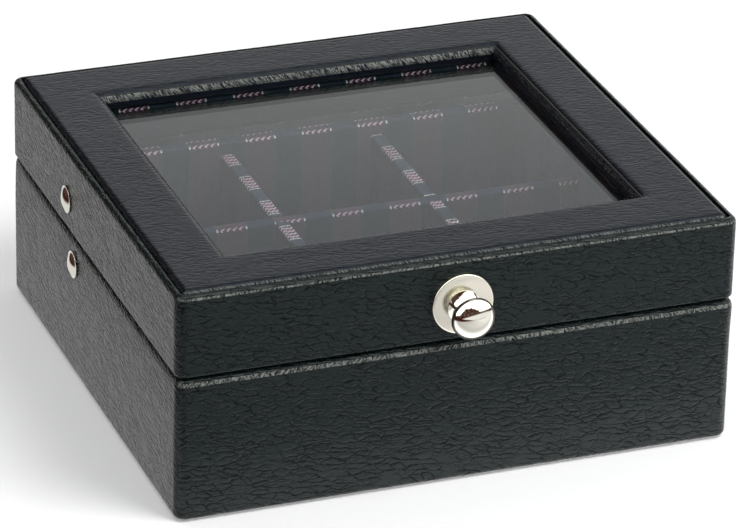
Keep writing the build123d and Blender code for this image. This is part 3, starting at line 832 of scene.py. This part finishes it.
# Painted shade: the lid's linings get a plain, nearly black cloth that stands in for the shade inside the
# lid's frame.
shade_dark_cloth, tree = new_material("lid_lining_cloth")
where = place_in(tree)
weave = add(
    tree, "TexWave", {"Vector": where, "Scale": 900.0, "Distortion": 1.0}, bands_direction="Z",
).outputs["Fac"]
slub = noise_over(tree, where, 1200.0, 3.0)
colour = blend(tree, slub, (0.004, 0.007, 0.008, 1), (0.009, 0.014, 0.016, 1))
bump = relief(tree, calc(tree, "ADD", weave, slub), 0.5, 0.05 * mm)
finish_surface(tree, surface(tree, colour, 0.6, {"Normal": bump, "Specular IOR Level": 0.3}))
dress([f"lid_{side}_lining" for side in ("front", "back", "left", "right")], shade_dark_cloth)


# Boards: grey fibreboard faced with black paper, hidden by the leatherette except inside the walls. The
# underside has the same black paper.

black_paper, tree = new_material("black_faced_board")
fibres = noise_over(tree, place_in(tree), 900.0, 4.0)
colour = blend(tree, fibres, (0.010, 0.010, 0.011, 1), (0.030, 0.029, 0.028, 1))
bump = relief(tree, fibres, 0.5, 0.05 * mm)
finish_surface(tree, surface(tree, colour, 0.8, {"Normal": bump}))
dress([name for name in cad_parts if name.endswith("_board")], black_paper)
dress([f"top_panel_{side}_rail" for side in ("front", "back", "left", "right")], black_paper)
dress(["hinge_rail", "underside_sheet"], black_paper)


# Rivets: domed nickel caps outside the walls, whose shanks go through wall and stay link and are
# headed over flat inside. One in the case and one in the lid on each side.

nickel, tree = new_material("polished_nickel")
where = place_in(tree)
cloudy = noise_over(tree, where, 160.0, 3.0)
rough = span(tree, cloudy, 0.3, 0.7, 0.05, 0.13)
tone = blend(tree, cloudy, (0.76, 0.735, 0.65, 1), (0.86, 0.84, 0.76, 1))
bump = relief(tree, noise_over(tree, where, 700.0, 4.0), 0.25, 0.01 * mm)
finish_surface(tree, surface(tree, tone, rough, {"Metallic": 1.0, "Normal": bump}))


def arc(centre, radius, start, end, count=10):
    """Points of a round stretch of an outline, from one angle to another, in degrees."""
    angles = [math.radians(start + (end - start) * k / count) for k in range(count + 1)]
    return [(centre[0] + radius * math.cos(a), centre[1] + radius * math.sin(a)) for a in angles]


def dome(radius, rise, top, skip, count):
    """Outline of a dome, from a few degrees inside its edge up to its middle."""
    ball = (radius ** 2 + rise ** 2) / (2 * rise)
    edge = math.degrees(math.atan2(ball - rise, radius))
    return arc((0, top - ball), ball, edge + skip, 90, count)


def turn_on_lathe(shape, outline, place, towards, steps_round):
    """Spin an outline of (radius, height) points in mm and set its foot at a place, facing one way."""
    verts = [shape.verts.new((r * mm, 0, h * mm)) for r, h in outline]
    edges = [shape.edges.new(pair) for pair in zip(verts, verts[1:])]
    bmesh.ops.spin(
        shape, geom=verts + edges, cent=(0, 0, 0), axis=(0, 0, 1), dvec=(0, 0, 0),
        angle=math.tau, steps=steps_round, use_merge=True, use_duplicate=False,
    )
    turned = [v for v in shape.verts if not v.tag]
    facing = Vector(towards).to_track_quat("Z", "Y").to_matrix()
    bmesh.ops.rotate(shape, verts=turned, matrix=facing)
    bmesh.ops.translate(shape, verts=turned, vec=place)
    for vert in turned:
        vert.tag = True


def make_turned(name, shape, material, body, node, sharp_from):
    """Close the turned shape and keep its edges sharp from an angle on, in degrees."""
    bmesh.ops.remove_doubles(shape, verts=shape.verts, dist=0.002 * mm)
    bmesh.ops.recalc_face_normals(shape, faces=shape.faces)
    piece = place_piece(name, shape, material, body, node)
    piece.data.set_sharp_from_angle(angle=math.radians(sharp_from))


rivet_cap, rivet_dome, rivet_shank, rivet_head = 3.9, 1.4, 1.25, 2.6
head_thickness = 0.35
for body, head_depth in (("base", 7.7), ("lid", 8.9)):
    outline = [
        (0, -head_depth), (rivet_head - 0.1, -head_depth), (rivet_head, 0.1 - head_depth),
        (rivet_head, head_thickness - head_depth), (rivet_shank, head_thickness - head_depth),
        (rivet_shank, 0.05), (rivet_cap - 0.1, 0.0), (rivet_cap, 0.1), (rivet_cap, 0.25),
    ] + dome(rivet_cap, rivet_dome, rivet_dome, 4, 10)
    place = middle(f"{body}_stay_rivets")
    shape = bmesh.new()
    for side in (-1, 1):
        turn_on_lathe(shape, outline, (side * case_half[0], place.y, place.z), (side, 0, 0), 72)
    make_turned(f"{body}_rivets", shape, nickel, body, f"{body}_stay_rivets", 35)


# Knob: a flat rose with a turned satin face and a turned, domed knob, both brass plated with nickel.
# One screw through the lid's front wall pulls them tight. The knob sits a little low and to the left.

knob_low, knob_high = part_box("knob_rose")
knob_place = ((knob_low.x + knob_high.x) / 2, knob_high.y, (knob_low.z + knob_high.z) / 2)
rose_radius, rose_height = 8.7, 2.0
bore = 1.6
set_left, set_low = 0.3 * mm, 0.15 * mm

turned_nickel, tree = new_material("turned_nickel")
from_knob = vector(tree, "SUBTRACT", place_in(tree), knob_place)
round_axis = vector(tree, "CROSS_PRODUCT", from_knob, (0, 1, 0))
from_axis = calc(tree, "MULTIPLY", vector(tree, "LENGTH", round_axis), 9000)
cuts = noise_over(tree, combine(tree, from_axis), 1.0, 2.0)
tone = blend(tree, cuts, (0.72, 0.69, 0.59, 1), (0.85, 0.82, 0.73, 1))
bump = relief(tree, cuts, 0.2, 0.01 * mm)
finish_surface(tree, surface(tree, tone, 0.24, {
    "Metallic": 1.0, "Normal": bump, "Tangent": round_axis, "Anisotropic": 0.75,
}))

outline = (
    [(bore, 0), (rose_radius - 0.3, 0)]
    + arc((rose_radius - 0.45, 0.75), 0.45, -45, 75, 6)
    + [(rose_radius - 0.8, 1.35), (3.6, rose_height), (bore, rose_height), (bore, 0)]
)
shape = bmesh.new()
turn_on_lathe(shape, outline, (knob_place[0] - set_left, *knob_place[1:]), (0, -1, 0), 96)
make_turned("rose", shape, turned_nickel, "lid", "knob_rose", 40)

foot, neck_end, head_end, dome_top = rose_height, 7.4, 9.2, 12.9
neck_radius, head_radius = 2.7, 6.1
neck_cove = 1.0
screw_end = 8.0
droop = 0.07
outline = (
    [(0, screw_end), (bore, screw_end), (bore, foot), (4.6, foot), (4.7, foot + 0.1)]
    + [(4.25, foot + 0.45), (3.8, foot + 0.95), (3.4, foot + 1.6), (3.05, foot + 2.5), (2.8, foot + 3.4)]
    + [(neck_radius, neck_end - neck_cove)]
    + arc((neck_radius + neck_cove, neck_end - neck_cove), neck_cove, 180, 90, 6)
    + arc((head_radius - 0.45, neck_end + 0.75), 0.45, -70, 0, 5)
    + [(head_radius, head_end - 0.25)]
    + dome(head_radius, dome_top - head_end, dome_top, 2, 16)
)
shape = bmesh.new()
knob_foot = (knob_place[0] - set_left, knob_place[1], knob_place[2] - set_low)
turn_on_lathe(shape, outline, knob_foot, (0, -1, -droop), 96)
make_turned("knob", shape, nickel, "lid", "knob_handle", 40)


# Hinges, stays and screws: steel strip and wire with rolling marks. The hinges' leaves and pins are
# plated with nickel, and all screws and the links, elbow rivets and spacers of the stays with zinc.

plated_steel, tree = new_material("plated_steel")
where = place_in(tree)
marks = noise_over(tree, vector(tree, "MULTIPLY", where, (4000.0, 300.0, 900.0)), 1.0, 3.0)
cloudy = noise_over(tree, where, 220.0, 3.0)
rough = span(tree, marks, 0.0, 1.0, 0.20, 0.38)
tone = blend(tree, cloudy, (0.50, 0.50, 0.49, 1), (0.66, 0.65, 0.62, 1))
bump = relief(tree, marks, 0.3, 0.02 * mm)
finish_surface(tree, surface(tree, tone, rough, {"Metallic": 1.0, "Normal": bump}))
dress([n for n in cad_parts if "hinge" in n and n != "hinge_rail"], nickel)
dress([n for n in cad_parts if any(w in n for w in ("link", "spacer", "screw", "elbow"))], plated_steel)
